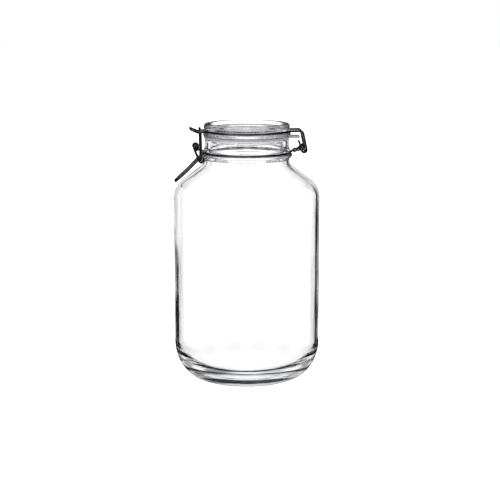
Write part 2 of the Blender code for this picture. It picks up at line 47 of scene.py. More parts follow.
# Glass of the jar
BODY_RADIUS = 80 * MM
BODY_WALL = 4.2 * MM
SMOOTH_WALL_LOW = 50 * MM
SMOOTH_WALL_HIGH = 252 * MM
SMOOTH_WALL_EASE = 6 * MM
GLASS_HEIGHT = 266.6 * MM
MOUTH_RADIUS = 40.5 * MM
LIP_RADIUS = 46.3 * MM
LIP_ROUND = 1.8 * MM
HEEL_HEIGHT = 42 * MM
SHOULDER_ROUND = 22 * MM
SHOULDER_START = 202.473 * MM
SHOULDER_SLOPE = math.radians(37.5)
NECK_RADIUS = 46.4 * MM
NECK_FILLET = 8 * MM
COLLAR_RADIUS = 47.6 * MM
COLLAR_TOP = 254.35 * MM
COLLAR_FLARE = 2.2 * MM
GROOVE_FLOOR = 46 * MM
GROOVE_TOP = 252.85 * MM
GROOVE_BOTTOM = 249.95 * MM
BEAD_RADIUS = 49.7 * MM
BEAD_LOW = 247.85 * MM
BEAD_BOTTOM = 244.25 * MM
BEAD_ROUND = 0.8 * MM
# The slant under the bead ends a little above the bead's bottom, clear of the lever's eye.
SLANT_END_OUT = 0.3 * MM
SLANT_END_RISE = 0.35 * MM
EDGE_ROUND = 0.5 * MM
BASE_RING_RADIUS = 46 * MM
BASE_RING_FLAT = 3 * MM
PUSH_UP_DEPTH = 2.5 * MM
FLOOR_HEIGHT = 15 * MM
FLOOR_RADIUS = 50 * MM
INNER_HEEL_TOP = 44 * MM
BASE_RINGS = (53.7 * MM, 57 * MM)
BASE_RING_HALF = 0.4 * MM
BASE_RING_RISE = 0.2 * MM
UNDERSIDE_TOP = 4 * MM
UNDERSIDE_END = 6 * MM
UNDERSIDE_ROUGHNESS = 0.14
KNURL_DEPTH = 0.45 * MM
KNURL_HEIGHT = 1.6 * MM
KNURL_OUTER_MARGIN = 8 * MM
KNURL_INNER_MARGIN = 1.5 * MM

# Lid
LID_SEAT = 269.8 * MM
LID_TOP = 283 * MM
LID_FLANGE_RADIUS = 47.8 * MM
LID_FLANGE_TOP = 273.4 * MM
LID_FLANGE_ROUND = 1 * MM
LID_RIM_RADIUS = 46.95 * MM
LID_RIM_ROUND = 2.6 * MM
LID_RIM_WIDTH = 7.5 * MM
LID_RIM_INNER_ROUND = 1.6 * MM
LID_RECESS_DEPTH = 5.2 * MM
LID_RECESS_FILLET = 2.2 * MM
LID_DISC_THICKNESS = 4 * MM
LID_DISC_TOP = LID_TOP - LID_RECESS_DEPTH
LID_DISC_BOTTOM = LID_DISC_TOP - LID_DISC_THICKNESS
LID_GROOVE_RADIUS = 45.45 * MM
LID_GROOVE_TOP = 276.3 * MM
LID_LIP_RADIUS = 39.6 * MM
LID_LIP_THICKNESS = 3.6 * MM
LID_LIP_BOTTOM = 262.6 * MM
LID_LIP_ROUND = 1 * MM
LID_SLOPE_TOP_RADIUS = 28 * MM
LID_SLOPE_ROUND = 2 * LID_LIP_ROUND

# Seal ring
SEAL_LOW = 266.9 * MM
SEAL_HIGH = 269.5 * MM
SEAL_RADIUS = 47.4 * MM
SEAL_INNER = 39.9 * MM
SEAL_ROUND = 0.9 * MM
TAB_END = 57.8 * MM
TAB_WIDTH = 16 * MM
TAB_CORNER = 4 * MM
TAB_OVERLAP = 2 * MM
TAB_EDGE_EASE = 0.5 * MM

# Wire
WIRE_RADIUS = 1.25 * MM
NECK_RING_RADIUS = 47.45 * MM
NECK_WIRE_HEIGHT = 251.4 * MM
LID_RING_RADIUS = 46.9 * MM
LID_WIRE_HEIGHT = 274.85 * MM

# Latch
PIVOT_X = -50.2 * MM
PIVOT_Z = 243.9 * MM
FULCRUM_X = -55.7 * MM
FULCRUM_Z = 257.5 * MM
CROSSBAR_X = -51.1 * MM
CROSSBAR_Z = 276.75 * MM
NOSE_DIP_X = -53.2 * MM
NOSE_DIP = 273.6 * MM
NOSE_TIP_X = -61.8 * MM
NOSE_LIFT = 3.8 * MM
NOSE_HALF_WIDTH = 11 * MM
NOSE_CORNER = 5 * MM
NOSE_BEND = 6 * MM
RING_CORNER = 3 * MM
BAIL_HALF_WIDTH = 16.2 * MM
BAIL_CORNER = 4 * MM
PIN_BEND = 1.9 * MM
PIN_OVERHANG = 0.3 * MM
EYE_RADIUS = 2.6 * MM
EYE_OUTER_Y = 13.45 * MM
EYE_INNER_Y = 10.7 * MM
EAR_HALF_WIDTH = 7.8 * MM
EYE_SWEEP = math.radians(318)
HANDLE_TIP_HALF_WIDTH = 9.2 * MM
CONE_HIGH_R = 49.53 * MM
CONE_HIGH_Z = 236.703 * MM
HANDLE_BEND_ALONG = 15.2 * MM
HANDLE_BEND_CLEAR = 6 * MM
HANDLE_TIP_ALONG = 32.8 * MM
HANDLE_TIP_CLEAR = 4.6 * MM
HANDLE_BEND = 9 * MM
HANDLE_TIP_ROUND = 7 * MM

# Hinge
HINGE_X = 61.55 * MM
HINGE_Z = 254.6 * MM
HINGE_LEG_HALF_WIDTH = 13 * MM
HINGE_LEG_TOP_X = 60.1 * MM
HINGE_LEG_RISE = 0.2 * MM
HINGE_LEG_BEND = 3.2 * MM
HOOK_RADIUS = 2.75 * MM
HOOK_SWEEP = math.radians(235)
TWIST_RADIUS = 1.45 * MM
TWIST_START_X = 50.2 * MM
TWIST_END_X = 58.65 * MM
TWIST_START_RISE = 1.4 * MM
TWIST_EASE_SHARE = 0.25
RING_END_BEND = 2.8 * MM
STEM_BEND = 1.4 * MM
HINGE_PIN_HALF_LENGTH = 17.2 * MM
HINGE_PIN_BEND = 1.9 * MM
HINGE_END_LEAN = 3.2 * MM
HINGE_END_HEIGHT = 7.4 * MM

# Fineness of the curves
TURN_STEPS = 192
ARC_STEP = math.radians(6)
RING_STEP = math.radians(3)
EYE_STEP = math.radians(10)
TWIST_STEPS = 48
WALL_ROWS = 12
FILLET_STEPS = 8
SHOULDER_STEPS = 12
NECK_STEPS = 6
HEEL_STEPS = 26
INNER_HEEL_STEPS = 18
FLOOR_STEPS = 5
PUSH_UP_STEPS = 12
EDGE_STEPS = 3
SHORT_ROUND_STEPS = 4
SMALL_ROUND_STEPS = 5
LARGE_ROUND_STEPS = 6
RIM_STEPS = 8
CORNER_SEGMENTS = 10
EASE_SEGMENTS = 4
CARD_SIDES = 96
WIRE_SIDES_SETTING = 6
WELD = 0.002 * MM
SHORTEST_STEP = 0.08 * MM
LONG_RUN = 0.9 * MM
SUPPORT_GAP = 0.15 * MM
SHORT_SHARE = 0.4
CORNER_TURN = math.radians(20)
WIRE_SMOOTH_ANGLE = math.radians(40)
SEAL_SMOOTH_ANGLE = math.radians(35)

# Patterns in the surfaces, by the size of one wave, cloud or grain. The waves of the blown wall
# are drawn out up the jar, and the mould's ripples run round it. The rubber's real grain is
# about 0.1 mm and the die's scores on the wire are finer still, so both are drawn coarser, as
# wide as they need to be to show from close by. As many scores as fit lie round the wire, and
# each of them runs on for about a sixth of its length.
GLASS_WAVE = 22.2 * MM
GLASS_WAVE_STRETCH = 0.35
GLASS_CLOUD = 8.3 * MM
RIPPLE_HEIGHT = 2.38 * MM
RIPPLE_LENGTH = 200 * MM
RUBBER_CLOUD = 11.1 * MM
RUBBER_GRAIN = 0.4 * MM
STEEL_CLOUD = 3.85 * MM
SCORE_WIDTH = 0.26 * MM
SCORE_RUNS = 6.0
LAMINATE_CLOUD = 333 * MM

# How strongly the glass and the rubber bend light
GLASS_IOR = 1.52
RUBBER_IOR = 1.5

# Sockets of a Mix node, by their number, because several of them share a name
NUMBER_A, NUMBER_B, COLOUR_A, COLOUR_B = 2, 3, 6, 7
MIXED_NUMBER, MIXED_COLOUR = 0, 2

# Camera, fitted to the jar's outline in the picture
CAMERA_AZIMUTH = math.radians(-4)
CAMERA_DISTANCE = 1709 * MM
CAMERA_HEIGHT = 442 * MM
CAMERA_PITCH = math.radians(9.94)
CAMERA_LENS = 113.0
CAMERA_SENSOR = 36
CAMERA_SHIFT_X = 0.0063
CAMERA_NEAR = 0.05
CAMERA_FAR = 50

# Card round the lid, whose glow is painted light: emission standing in for the lit room falling on it,
# more on its left
CARD_RADIUS = 200 * MM
CARD_BOTTOM = 280 * MM
CARD_TOP = 352 * MM
CARD_GLOW = 0.05
CARD_LEFT_GLOW = 0.4
CARD_GLOW_START = -0.45 * CARD_RADIUS
CARD_GLOW_END = -0.2 * CARD_RADIUS

# Floor and lamp, in metres and watts
STAGE_RADIUS = 8
STAGE_DROP = 0.2 * MM
STAGE_GLOW = 1.0
LAMP_WIDTH = 0.7
LAMP_HEIGHT = 1.0
LAMP_POWER = 2
LAMP_PLACE = (-0.9, -0.9, 1.3)
LAMP_AIM = (0, 0, 0.15)

# Light of the sky where the camera and the matt surfaces see it, and what the whole room adds
# to what the steel mirrors
BACKDROP_LIGHT = 1.0
ROOM_LIGHT = 0.9
ROOM_GLOW = 0.01

# What the sky's layers run over: each row has its name, its source, an operation and a number.
# A bearing of nought is straight behind the jar, as the camera sees it. White panels stand every
# 45 degrees, and softboxes stand in front of the jar, at 135 degrees to both sides.
SKY_VALUES = (
    ("bearing", "azimuth", "SUBTRACT", 4 * DEGREE),
    ("aside", "bearing", "ABSOLUTE", 0.0),
    ("from_panel", "aside", "PINGPONG", 22.5 * DEGREE),
    ("panel_turn", "bearing", "MULTIPLY", 8.0),
    ("panel_swing", "panel_turn", "COSINE", 0.0),
    ("box_turn", "bearing", "MULTIPLY", 4.0),
    ("box_swing", "box_turn", "COSINE", 0.0),
)

# Ramps of the sky: name, what it runs over, easing, start, end, light at the start and the end.
# A height is the upward part of a direction, from -1 to 1.
SKY_RAMPS = (
    ("panels", "panel_swing", "SMOOTHSTEP", -0.85, 0.1, 0.02, 1.4),
    ("fall_off", "from_panel", "LINEAR", 6 * DEGREE, 15 * DEGREE, 1.5, 0.95),
    ("far_walls", "aside", "LINEAR", 50 * DEGREE, 65 * DEGREE, 0.0, 0.5),
    ("left_high", "height", "SMOOTHSTEP", -0.184, -0.164, 0.0, 1.0),
    ("left_fade", "bearing", "LINEAR", -34 * DEGREE, -8 * DEGREE, 0.8, 1.3),
    ("floor_light", "height", "SMOOTHSTEP", -0.5, -0.34, 0.8, 0.0),
    ("table", "height", "SMOOTHSTEP", -0.42, -0.25, 0.75, 1.0),
    ("upper_walls", "height", "SMOOTHSTEP", 0.15, 0.22, 0.0, 0.5),
    ("ceiling", "height", "SMOOTHSTEP", 0.5, 0.8, 1.0, 0.4),
    ("softboxes", "box_swing", "SMOOTHSTEP", -0.995, -0.95, 0.75, 0.0),
    ("in_front", "aside", "LINEAR", 80 * DEGREE, 100 * DEGREE, 0.0, 1.0),
    ("overhead", "height", "SMOOTHSTEP", 0.84, 0.9, 0.0, 0.9),
)

# Bands of the sky: name, what it runs over, two edges, their ease, light inside and outside
SKY_BANDS = (
    ("middle", "bearing", -20 * DEGREE, 22 * DEGREE, 3 * DEGREE, 1.5, 0.0),
    ("right_gap", "bearing", 17.5 * DEGREE, 38 * DEGREE, 4 * DEGREE, 0.03, 1.0),
    ("left_gap", "bearing", -38 * DEGREE, -15.5 * DEGREE, 2 * DEGREE, 0.03, 1.0),
    ("left_panel", "bearing", -60 * DEGREE, -7 * DEGREE, 3 * DEGREE, 1.0, 0.0),
    ("box_height", "height", -0.45, 0.6, 0.08, 1.0, 0.0),
)

# How the layers come together: name, first layer, then each next one with its operation
SKY_STACKS = (
    ("left_side", "left_gap", (("MAXIMUM", "left_high"),)),
    ("left_wall", "left_panel", (("MULTIPLY", "left_fade"), ("MULTIPLY", "left_high"))),
    ("through_glass", "panels", (
        ("MAXIMUM", "middle"), ("MINIMUM", "fall_off"), ("MULTIPLY", "right_gap"),
        ("MULTIPLY", "left_side"), ("MULTIPLY", "table"), ("MAXIMUM", "far_walls"),
        ("MAXIMUM", "floor_light"), ("MAXIMUM", "left_wall"), ("MAXIMUM", "upper_walls"),
        ("MULTIPLY", "ceiling"))),
    ("on_steel", "softboxes", (
        ("MULTIPLY", "box_height"), ("MULTIPLY", "in_front"), ("MAXIMUM", "overhead"))),
)

# Paths of light through the glass
LIGHT_BOUNCES = 24
GLOSSY_BOUNCES = 12


def linear(hex_colour):
    """The linear values of an sRGB hex colour, with full alpha."""
    values = []
    for i in (1, 3, 5):
        share = int(hex_colour[i:i + 2], 16) / 255
        values.append(share / 12.92 if share <= 0.04045 else ((share + 0.055) / 1.055) ** 2.4)
    return (*values, 1.0)


def per_metre(size):
    """How many waves or grains of one size lie in a metre, for a pattern's scale."""
    return float(round(1 / size))


def node(tree, kind, settings=None, links=None):
    """Adds a node, gives it its settings, and joins its inputs to other nodes' outputs."""
    made = tree.nodes.new(kind)
    for key, value in (settings or {}).items():
        if isinstance(key, str) and hasattr(made, key):
            setattr(made, key, value)
        else:
            made.inputs[key].default_value = value
    for key, output in (links or {}).items():
        tree.links.new(output, made.inputs[key])
    return made


def band(tree, value, low, high, ease, inside, outside):
    """A value that is one number between two limits and another outside, with eased edges."""
    rise = node(tree, "ShaderNodeMapRange",
                {"interpolation_type": "SMOOTHSTEP", "From Min": low - ease, "From Max": low + ease},
                {"Value": value})
    fall = node(tree, "ShaderNodeMapRange",
                {"interpolation_type": "SMOOTHSTEP", "From Min": high - ease,
                 "From Max": high + ease, "To Min": 1.0, "To Max": 0.0}, {"Value": value})
    both = node(tree, "ShaderNodeMath", {"operation": "MULTIPLY"},
                {0: rise.outputs["Result"], 1: fall.outputs["Result"]})
    scaled = node(tree, "ShaderNodeMapRange", {"To Min": outside, "To Max": inside},
                  {"Value": both.outputs["Value"]})
    return scaled.outputs["Result"]


def new_material(name):
    """A new material, with its node tree and its shader."""
    material = bpy.data.materials.new(name)
    material.use_nodes = True
    tree = material.node_tree
    return material, tree, tree.nodes["Principled BSDF"]


def clear_glass(name, tint, depth_tint, density):
    """Soda-lime glass: clear in a thin wall, and grey where it is seen through its depth."""
    material, tree, shader = new_material(name)
    shader.inputs["Base Color"].default_value = linear(tint)
    shader.inputs["IOR"].default_value = GLASS_IOR
    shader.inputs["Transmission Weight"].default_value = 1.0
    depth = node(tree, "ShaderNodeVolumeAbsorption",
                 {"Color": linear(depth_tint), "Density": density})
    tree.links.new(depth.outputs["Volume"], tree.nodes["Material Output"].inputs["Volume"])
    return material, tree, shader


def mould_ripples(tree, place):
    """Low ripples that run round a turned mould and that the glass takes over."""
    across = per_metre(RIPPLE_LENGTH)
    turned_marks = node(tree, "ShaderNodeMapping",
                        {"Scale": (across, across, per_metre(RIPPLE_HEIGHT))},
                        {"Vector": place.outputs["Object"]})
    ripples = node(tree, "ShaderNodeTexNoise", {"Scale": 1.0, "Detail": 2.5, "Roughness": 0.55},
                   {"Vector": turned_marks.outputs["Vector"]})
    return ripples.outputs["Fac"]


def blown_normal(tree, place, height):
    """Slow waves all over the blown glass, and ripples where the mould has chilled it."""
    long_waves = node(tree, "ShaderNodeMapping", {"Scale": (1.0, 1.0, GLASS_WAVE_STRETCH)},
                      {"Vector": place.outputs["Object"]})
    waves = node(tree, "ShaderNodeTexNoise",
                 {"Scale": per_metre(GLASS_WAVE), "Detail": 1.5, "Roughness": 0.45},
                 {"Vector": long_waves.outputs["Vector"]})
    wall_bump = node(tree, "ShaderNodeBump", {"Strength": 0.5, "Distance": 0.35 * MM},
                     {"Height": waves.outputs["Fac"]})
    chilled = band(tree, height, SMOOTH_WALL_LOW, SMOOTH_WALL_HIGH, SMOOTH_WALL_EASE, 0.0, 1.0)
    marks = node(tree, "ShaderNodeMath", {"operation": "MULTIPLY"},
                 {0: mould_ripples(tree, place), 1: chilled})
    bump = node(tree, "ShaderNodeBump", {"Strength": 0.3, "Distance": 0.2 * MM},
                {"Height": marks.outputs["Value"], "Normal": wall_bump.outputs["Normal"]})
    return bump.outputs["Normal"]


def blown_glass():
    """Soda-lime glass blown in an iron mould: a bright skin with slow waves left by the mould.

    Its underside took its skin from the cold base plate and is a little matt."""
    material, tree, shader = clear_glass("soda_lime_glass_blown", tint="#FDFDFE",
                                         depth_tint="#E4E5E8", density=6.0)
    place = node(tree, "ShaderNodeTexCoord")
    axes = node(tree, "ShaderNodeSeparateXYZ", None, {"Vector": place.outputs["Object"]})
    haze = node(tree, "ShaderNodeTexNoise", {"Scale": per_metre(GLASS_CLOUD), "Detail": 3.0},
                {"Vector": place.outputs["Object"]})
    polish = node(tree, "ShaderNodeMapRange", {"To Min": 0.0, "To Max": 0.02},
                  {"Value": haze.outputs["Fac"]})
    underside = node(tree, "ShaderNodeMapRange",
                     {"From Min": UNDERSIDE_TOP, "From Max": UNDERSIDE_END,
                      "To Min": UNDERSIDE_ROUGHNESS, "To Max": 0.0}, {"Value": axes.outputs["Z"]})
    skin = node(tree, "ShaderNodeMath", {"operation": "MAXIMUM"},
                {0: polish.outputs["Result"], 1: underside.outputs["Result"]})
    tree.links.new(skin.outputs["Value"], shader.inputs["Roughness"])
    tree.links.new(blown_normal(tree, place, axes.outputs["Z"]), shader.inputs["Normal"])
    return material


def pressed_glass():
    """Soda-lime glass pressed between plunger and mould, with the short ripples of its chilled skin."""
    material, tree, shader = clear_glass("soda_lime_glass_pressed", tint="#FBFBFC",
                                         depth_tint="#E2E3E6", density=8.0)
    place = node(tree, "ShaderNodeTexCoord")
    ripples = mould_ripples(tree, place)
    bump = node(tree, "ShaderNodeBump", {"Strength": 0.6, "Distance": 0.3 * MM},
                {"Height": ripples})
    polish = node(tree, "ShaderNodeMapRange", {"To Min": 0.0, "To Max": 0.03}, {"Value": ripples})
    tree.links.new(polish.outputs["Result"], shader.inputs["Roughness"])
    tree.links.new(bump.outputs["Normal"], shader.inputs["Normal"])
    return material


def natural_rubber():
    """Moulded pale rubber: milky, slightly see-through at its edges, with a fine matt grain."""
    material, tree, shader = new_material("natural_rubber_moulded_pale")
    shader.inputs["IOR"].default_value = RUBBER_IOR
    shader.inputs["Subsurface Weight"].default_value = 0.35
    shader.inputs["Subsurface Radius"].default_value = (1.0, 0.9, 0.8)
    shader.inputs["Subsurface Scale"].default_value = 2.5 * MM
    shader.inputs["Transmission Weight"].default_value = 0.6
    place = node(tree, "ShaderNodeTexCoord")
    cloud = node(tree, "ShaderNodeTexNoise", {"Scale": per_metre(RUBBER_CLOUD), "Detail": 3.0},
                 {"Vector": place.outputs["Object"]})
    tone = node(tree, "ShaderNodeMix",
                {"data_type": "RGBA", COLOUR_A: linear("#C4C4C3"), COLOUR_B: linear("#D8D8D6")},
                {0: cloud.outputs["Fac"]})
    grain = node(tree, "ShaderNodeTexNoise", {"Scale": per_metre(RUBBER_GRAIN), "Detail": 2.0},
                 {"Vector": place.outputs["Object"]})
    bump = node(tree, "ShaderNodeBump", {"Strength": 0.3, "Distance": 0.03 * MM},
                {"Height": grain.outputs["Fac"]})
    matt = node(tree, "ShaderNodeMapRange", {"To Min": 0.38, "To Max": 0.52},
                {"Value": cloud.outputs["Fac"]})
    tree.links.new(tone.outputs[MIXED_COLOUR], shader.inputs["Base Color"])
    tree.links.new(matt.outputs["Result"], shader.inputs["Roughness"])
    tree.links.new(bump.outputs["Normal"], shader.inputs["Normal"])
    return material


def drawn_steel():
    """Bright spring steel wire, drawn through a die: a soft mirror with scores along its length."""
    material, tree, shader = new_material("spring_steel_drawn_bright")
    shader.inputs["Metallic"].default_value = 1.0
    along = node(tree, "ShaderNodeUVMap", {"uv_map": "UVMap"})
    scores_round = float(round(2 * math.pi * WIRE_RADIUS / SCORE_WIDTH))
    stretch = node(tree, "ShaderNodeMapping", {"Scale": (SCORE_RUNS, scores_round, 1.0)},
                   {"Vector": along.outputs["UV"]})
    scores = node(tree, "ShaderNodeTexNoise", {"Scale": 1.0, "Detail": 3.0, "Roughness": 0.6},
                  {"Vector": stretch.outputs["Vector"]})
    place = node(tree, "ShaderNodeTexCoord")
    stain = node(tree, "ShaderNodeTexNoise", {"Scale": per_metre(STEEL_CLOUD), "Detail": 3.0},
                 {"Vector": place.outputs["Object"]})
    tone = node(tree, "ShaderNodeMix",
                {"data_type": "RGBA", COLOUR_A: linear("#66676A"), COLOUR_B: linear("#8C8D91")},
                {0: stain.outputs["Fac"]})
    shine = node(tree, "ShaderNodeMapRange", {"To Min": 0.12, "To Max": 0.30},
                 {"Value": scores.outputs["Fac"]})
    bump = node(tree, "ShaderNodeBump", {"Strength": 0.25, "Distance": 0.02 * MM},
                {"Height": scores.outputs["Fac"]})
    tree.links.new(tone.outputs[MIXED_COLOUR], shader.inputs["Base Color"])
    tree.links.new(shine.outputs["Result"], shader.inputs["Roughness"])
    tree.links.new(bump.outputs["Normal"], shader.inputs["Normal"])
    return material


def choose_nothing():
    """Leaves edit mode and deselects everything."""
    if bpy.context.object and bpy.context.object.mode != "OBJECT":
        bpy.ops.object.mode_set(mode="OBJECT")
    bpy.ops.object.select_all(action="DESELECT")


def choose_only(piece):
    """Selects one piece and makes it the active one."""
    choose_nothing()
    bpy.context.view_layer.objects.active = piece
    piece.select_set(True)


def arc(centre_r, centre_z, radius_r, radius_z, start, end, steps):
    """Points of an elliptic arc in a turned outline, from one angle to another, in degrees."""
    points = []
    for i in range(steps + 1):
        angle = math.radians(start + (end - start) * i / steps)
        points.append((centre_r + radius_r * math.cos(angle), centre_z + radius_z * math.sin(angle)))
    return points


def rounding(centre_r, centre_z, radius, start, end, steps):
    """Points of a circular arc, as along a rounded edge."""
    return arc(centre_r, centre_z, radius, radius, start, end, steps)


def shoulder(body_radius, neck_radius, round_radius, fillet_radius):
    """The neck's fillet, the cone and the round of the shoulder, from the neck down to the body."""
    slope = math.degrees(SHOULDER_SLOPE)
    side_share = 1 - math.sin(SHOULDER_SLOPE)
    cone_low_r = body_radius - round_radius * side_share
    cone_low_z = SHOULDER_START + round_radius * math.cos(SHOULDER_SLOPE)
    cone_high_r = neck_radius + fillet_radius * side_share
    cone_high_z = cone_low_z + (cone_low_r - cone_high_r) * math.tan(SHOULDER_SLOPE)
    fillet_z = cone_high_z + fillet_radius * math.cos(SHOULDER_SLOPE)
    points = rounding(neck_radius + fillet_radius, fillet_z, fillet_radius, 180, 270 - slope,
                      FILLET_STEPS)
    return points + rounding(body_radius - round_radius, SHOULDER_START, round_radius,
                             90 - slope, 0, SHOULDER_STEPS)


def inner_heel(inner_radius):
    """The round inside the heel, with the fine rings that the mould's base plate leaves on it."""
    reach = inner_radius - FLOOR_RADIUS
    rise = INNER_HEEL_TOP - FLOOR_HEIGHT

    def height(r):
        return INNER_HEEL_TOP - rise * math.sqrt(1 - ((r - FLOOR_RADIUS) / reach) ** 2)

    points = [(FLOOR_RADIUS, FLOOR_HEIGHT)]
    for ring in BASE_RINGS:
        before, after = ring - BASE_RING_HALF, ring + BASE_RING_HALF
        points += [(before, height(before)), (ring, height(ring) + BASE_RING_RISE),
                   (after, height(after))]
    start = -math.degrees(math.acos((BASE_RINGS[-1] + 2 * BASE_RING_HALF - FLOOR_RADIUS) / reach))
    return points + arc(FLOOR_RADIUS, INNER_HEEL_TOP, reach, rise, start, 0,
                        INNER_HEEL_STEPS)


def wall_rows(radius, start, end):
    """The points between the ends of an upright wall."""
    points = []
    for i in range(1, WALL_ROWS):
        share = i / WALL_ROWS
        points.append((radius, start + (end - start) * share))
    return points


def jar_inside():
    """From the middle of the floor up the inner wall to the mouth."""
    inner_radius = BODY_RADIUS - BODY_WALL
    inner_neck = NECK_RADIUS - BODY_WALL
    points = [(FLOOR_RADIUS * i / FLOOR_STEPS, FLOOR_HEIGHT) for i in range(FLOOR_STEPS)]
    points += inner_heel(inner_radius)
    points += wall_rows(inner_radius, INNER_HEEL_TOP, SHOULDER_START)
    points += reversed(shoulder(inner_radius, inner_neck, SHOULDER_ROUND - BODY_WALL,
                                NECK_FILLET + BODY_WALL))
    for i in range(1, NECK_STEPS + 1):
        share = i / NECK_STEPS
        ease = (1 - math.cos(math.pi * share)) / 2
        points.append((MOUTH_RADIUS + (inner_neck - MOUTH_RADIUS) * (1 - ease),
                       BEAD_BOTTOM + (COLLAR_TOP - BEAD_BOTTOM) * share))
    return points


def jar_finish():
    """Over the lip and down the outside of the mouth, with its collar, wire groove and bead."""
    lip_z = GLASS_HEIGHT - LIP_ROUND
    collar_r = COLLAR_RADIUS - EDGE_ROUND
    bead_r = BEAD_RADIUS - BEAD_ROUND
    points = rounding(MOUTH_RADIUS + LIP_ROUND, lip_z, LIP_ROUND, 180, 90, LARGE_ROUND_STEPS)
    points += rounding(LIP_RADIUS - LIP_ROUND, lip_z, LIP_ROUND, 90, 0, LARGE_ROUND_STEPS)
    points += [(LIP_RADIUS, COLLAR_TOP + COLLAR_FLARE)]
    points += rounding(collar_r, COLLAR_TOP, EDGE_ROUND, 50, 0, EDGE_STEPS)
    points += rounding(collar_r, GROOVE_TOP + EDGE_ROUND, EDGE_ROUND, 0, -90, EDGE_STEPS)
    points += [(GROOVE_FLOOR, GROOVE_TOP), (GROOVE_FLOOR, GROOVE_BOTTOM)]
    points += rounding(bead_r, GROOVE_BOTTOM - BEAD_ROUND, BEAD_ROUND, 90, 0, SMALL_ROUND_STEPS)
    points += rounding(bead_r, BEAD_LOW, BEAD_ROUND, 0, -50, SHORT_ROUND_STEPS)
    return points + [(NECK_RADIUS + SLANT_END_OUT, BEAD_BOTTOM + SLANT_END_RISE)]


def jar_outside():
    """Down the shoulder, the wall and the heel, then under the base ring into the push-up."""
    ring_inner = BASE_RING_RADIUS - BASE_RING_FLAT
    points = shoulder(BODY_RADIUS, NECK_RADIUS, SHOULDER_ROUND, NECK_FILLET)
    points += wall_rows(BODY_RADIUS, SHOULDER_START, HEEL_HEIGHT)
    points += arc(BASE_RING_RADIUS, HEEL_HEIGHT, BODY_RADIUS - BASE_RING_RADIUS, HEEL_HEIGHT,
                  0, -90, HEEL_STEPS)
    points += [(BASE_RING_RADIUS - BASE_RING_FLAT / 2, 0)]
    for i in range(PUSH_UP_STEPS + 1):
        share = i / PUSH_UP_STEPS
        points.append((ring_inner * (1 - share), PUSH_UP_DEPTH * math.sin(math.pi / 2 * share)))
    return points


def lid_top():
    """From the middle of the recessed disc over the raised rim."""
    rim_inner = LID_RIM_RADIUS - LID_RIM_WIDTH
    points = [(0, LID_DISC_TOP), (rim_inner / 3, LID_DISC_TOP), (rim_inner * 2 / 3, LID_DISC_TOP)]
    points += rounding(rim_inner - LID_RECESS_FILLET, LID_DISC_TOP + LID_RECESS_FILLET,
                       LID_RECESS_FILLET, -90, 0, LARGE_ROUND_STEPS)
    points += rounding(rim_inner + LID_RIM_INNER_ROUND, LID_TOP - LID_RIM_INNER_ROUND,
                       LID_RIM_INNER_ROUND, 180, 90, LARGE_ROUND_STEPS)
    return points + rounding(LID_RIM_RADIUS - LID_RIM_ROUND, LID_TOP - LID_RIM_ROUND,
                             LID_RIM_ROUND, 90, 0, RIM_STEPS)


def lid_side():
    """Down the outside of the lid, with its wire groove and its flange."""
    points = rounding(LID_RIM_RADIUS - EDGE_ROUND, LID_GROOVE_TOP + EDGE_ROUND, EDGE_ROUND,
                      0, -90, EDGE_STEPS)
    points += [(LID_GROOVE_RADIUS, LID_GROOVE_TOP), (LID_GROOVE_RADIUS, LID_FLANGE_TOP)]
    points += rounding(LID_FLANGE_RADIUS - LID_FLANGE_ROUND, LID_FLANGE_TOP - LID_FLANGE_ROUND,
                       LID_FLANGE_ROUND, 90, 0, SMALL_ROUND_STEPS)
    return points + rounding(LID_FLANGE_RADIUS - EDGE_ROUND, LID_SEAT + EDGE_ROUND, EDGE_ROUND,
                             0, -90, EDGE_STEPS)


def lid_under():
    """In along the seat, round the locating lip and up its slope to the middle of the disc."""
    lip_inner = LID_LIP_RADIUS - LID_LIP_THICKNESS
    lip_z = LID_LIP_BOTTOM + LID_LIP_ROUND
    slope_r = LID_SLOPE_TOP_RADIUS - LID_SLOPE_ROUND
    points = [(LID_LIP_RADIUS, LID_SEAT)]
    points += rounding(LID_LIP_RADIUS - LID_LIP_ROUND, lip_z, LID_LIP_ROUND, 0, -90,
                       SMALL_ROUND_STEPS)
    points += rounding(lip_inner + LID_LIP_ROUND, lip_z, LID_LIP_ROUND, -90, -145,
                       SHORT_ROUND_STEPS)
    points += rounding(slope_r, LID_DISC_BOTTOM - LID_SLOPE_ROUND, LID_SLOPE_ROUND, 35, 90,
                       SMALL_ROUND_STEPS)
    return points + [(slope_r * share / 3, LID_DISC_BOTTOM) for share in (2, 1, 0)]


def seal_outline():
    """A flat ring with rounded edges, closed on itself, down its outer side first."""
    outer = SEAL_RADIUS - SEAL_ROUND
    inner = SEAL_INNER + SEAL_ROUND
    high = SEAL_HIGH - SEAL_ROUND
    low = SEAL_LOW + SEAL_ROUND
    points = []
    for corner_r, corner_z, start in ((outer, high, 90), (outer, low, 0), (inner, low, -90),
                                      (inner, high, 180)):
        points += rounding(corner_r, corner_z, SEAL_ROUND, start, start - 90,
                           SHORT_ROUND_STEPS)
    return points + [points[0]]


def supported(outline):
    """The outline with a point beside each corner and each start of a fine arc on its long runs.

    The smooth shading then stays within the corner, and the flats stay flat."""
    corners = [Vector(point) for point in outline]
    runs = [after - before for before, after in zip(corners, corners[1:])]

    def needs_support(run, neighbour):
        if run.length < LONG_RUN or neighbour.length < WELD:
            return False
        return neighbour.length < SHORT_SHARE * run.length or run.angle(neighbour) > CORNER_TURN

    points = [outline[0]]
    for i, run in enumerate(runs):
        step = run.normalized() * SUPPORT_GAP
        if i > 0 and needs_support(run, runs[i - 1]):
            points.append(tuple(corners[i] + step))
        if i + 1 < len(runs) and needs_support(run, runs[i + 1]):
            points.append(tuple(corners[i + 1] - step))
        points.append(outline[i + 1])
    return points


